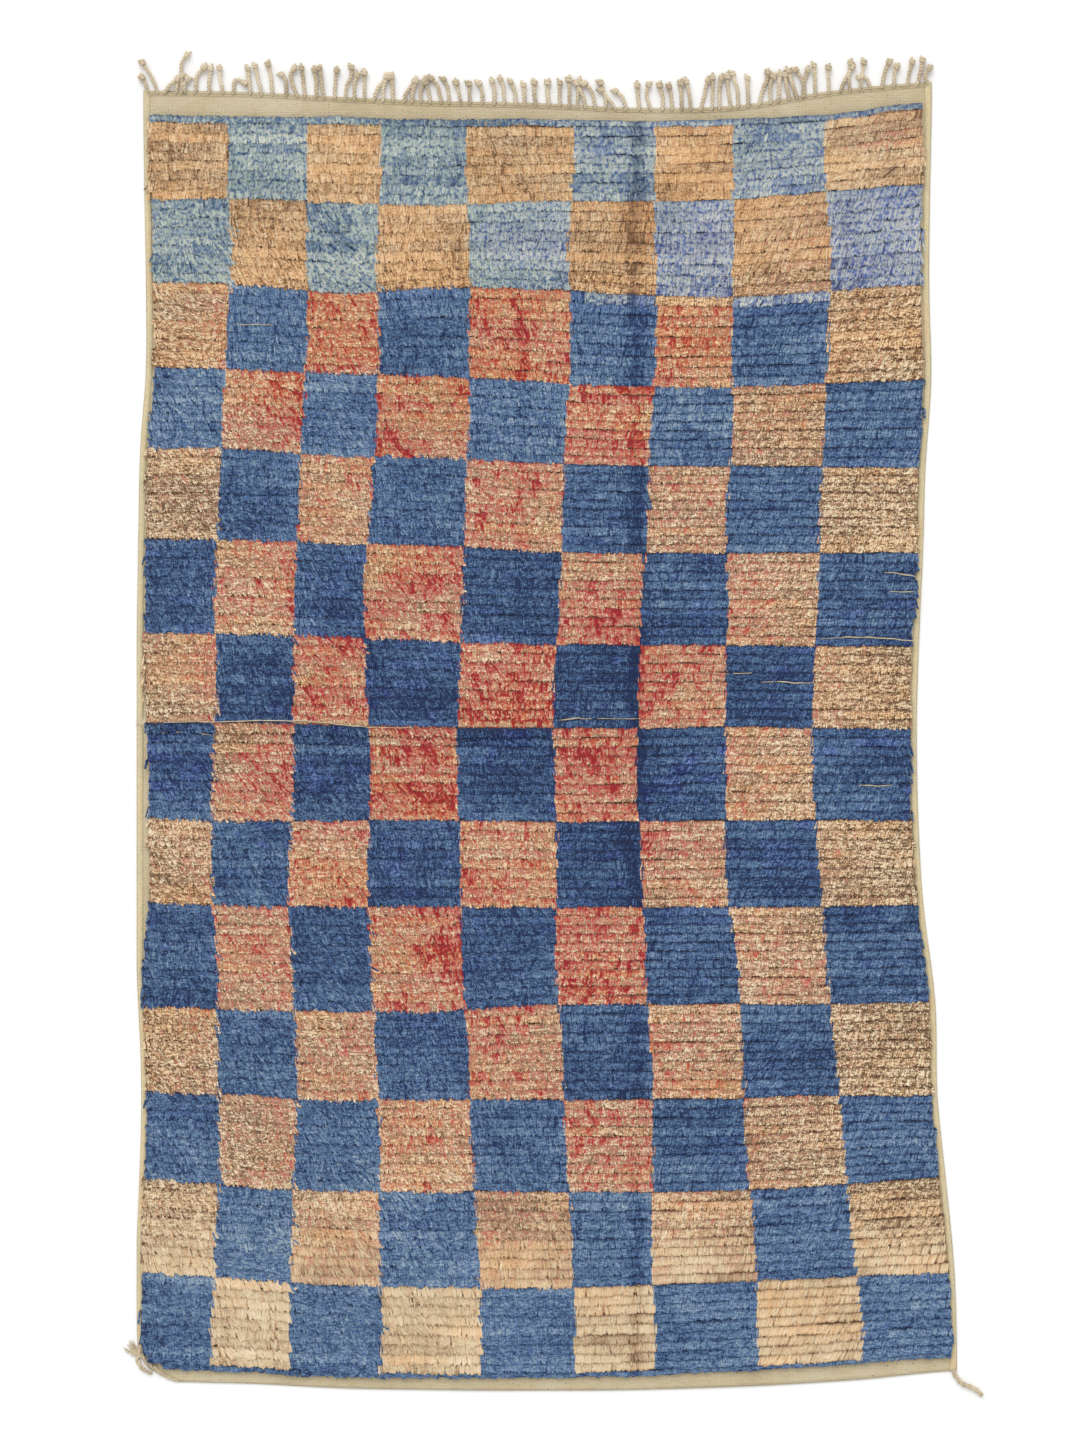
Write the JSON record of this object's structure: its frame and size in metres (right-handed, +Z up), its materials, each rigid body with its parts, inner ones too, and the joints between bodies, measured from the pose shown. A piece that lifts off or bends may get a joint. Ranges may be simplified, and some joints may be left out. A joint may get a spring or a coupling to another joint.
{
  "type": "beni ourain rug",
  "caption": "Hand-knotted wool pile rug in a plain check, with flat-woven end bands, corded selvedges and a knotted fringe along its top end.",
  "frame": {"origin": "middle of the rug's outline, fringe and corner ends included, on the underside", "axes": "+Z up out of the pile, +Y towards the fringed end, +X to the right seen from above with the fringe at the top"},
  "size_m": [1.6688, 2.6172, 0.0179],
  "materials": {
    "wool_pile": "cut wool pile, matt with a soft lustre",
    "undyed_wool": "undyed spun wool, matt"
  },
  "bodies": {
    "root": {"woven_rug": "wool_pile", "fringe_top": "undyed_wool", "corner_tassel_left": "undyed_wool", "corner_tassel_right": "undyed_wool"}
  },
  "joints": []
}
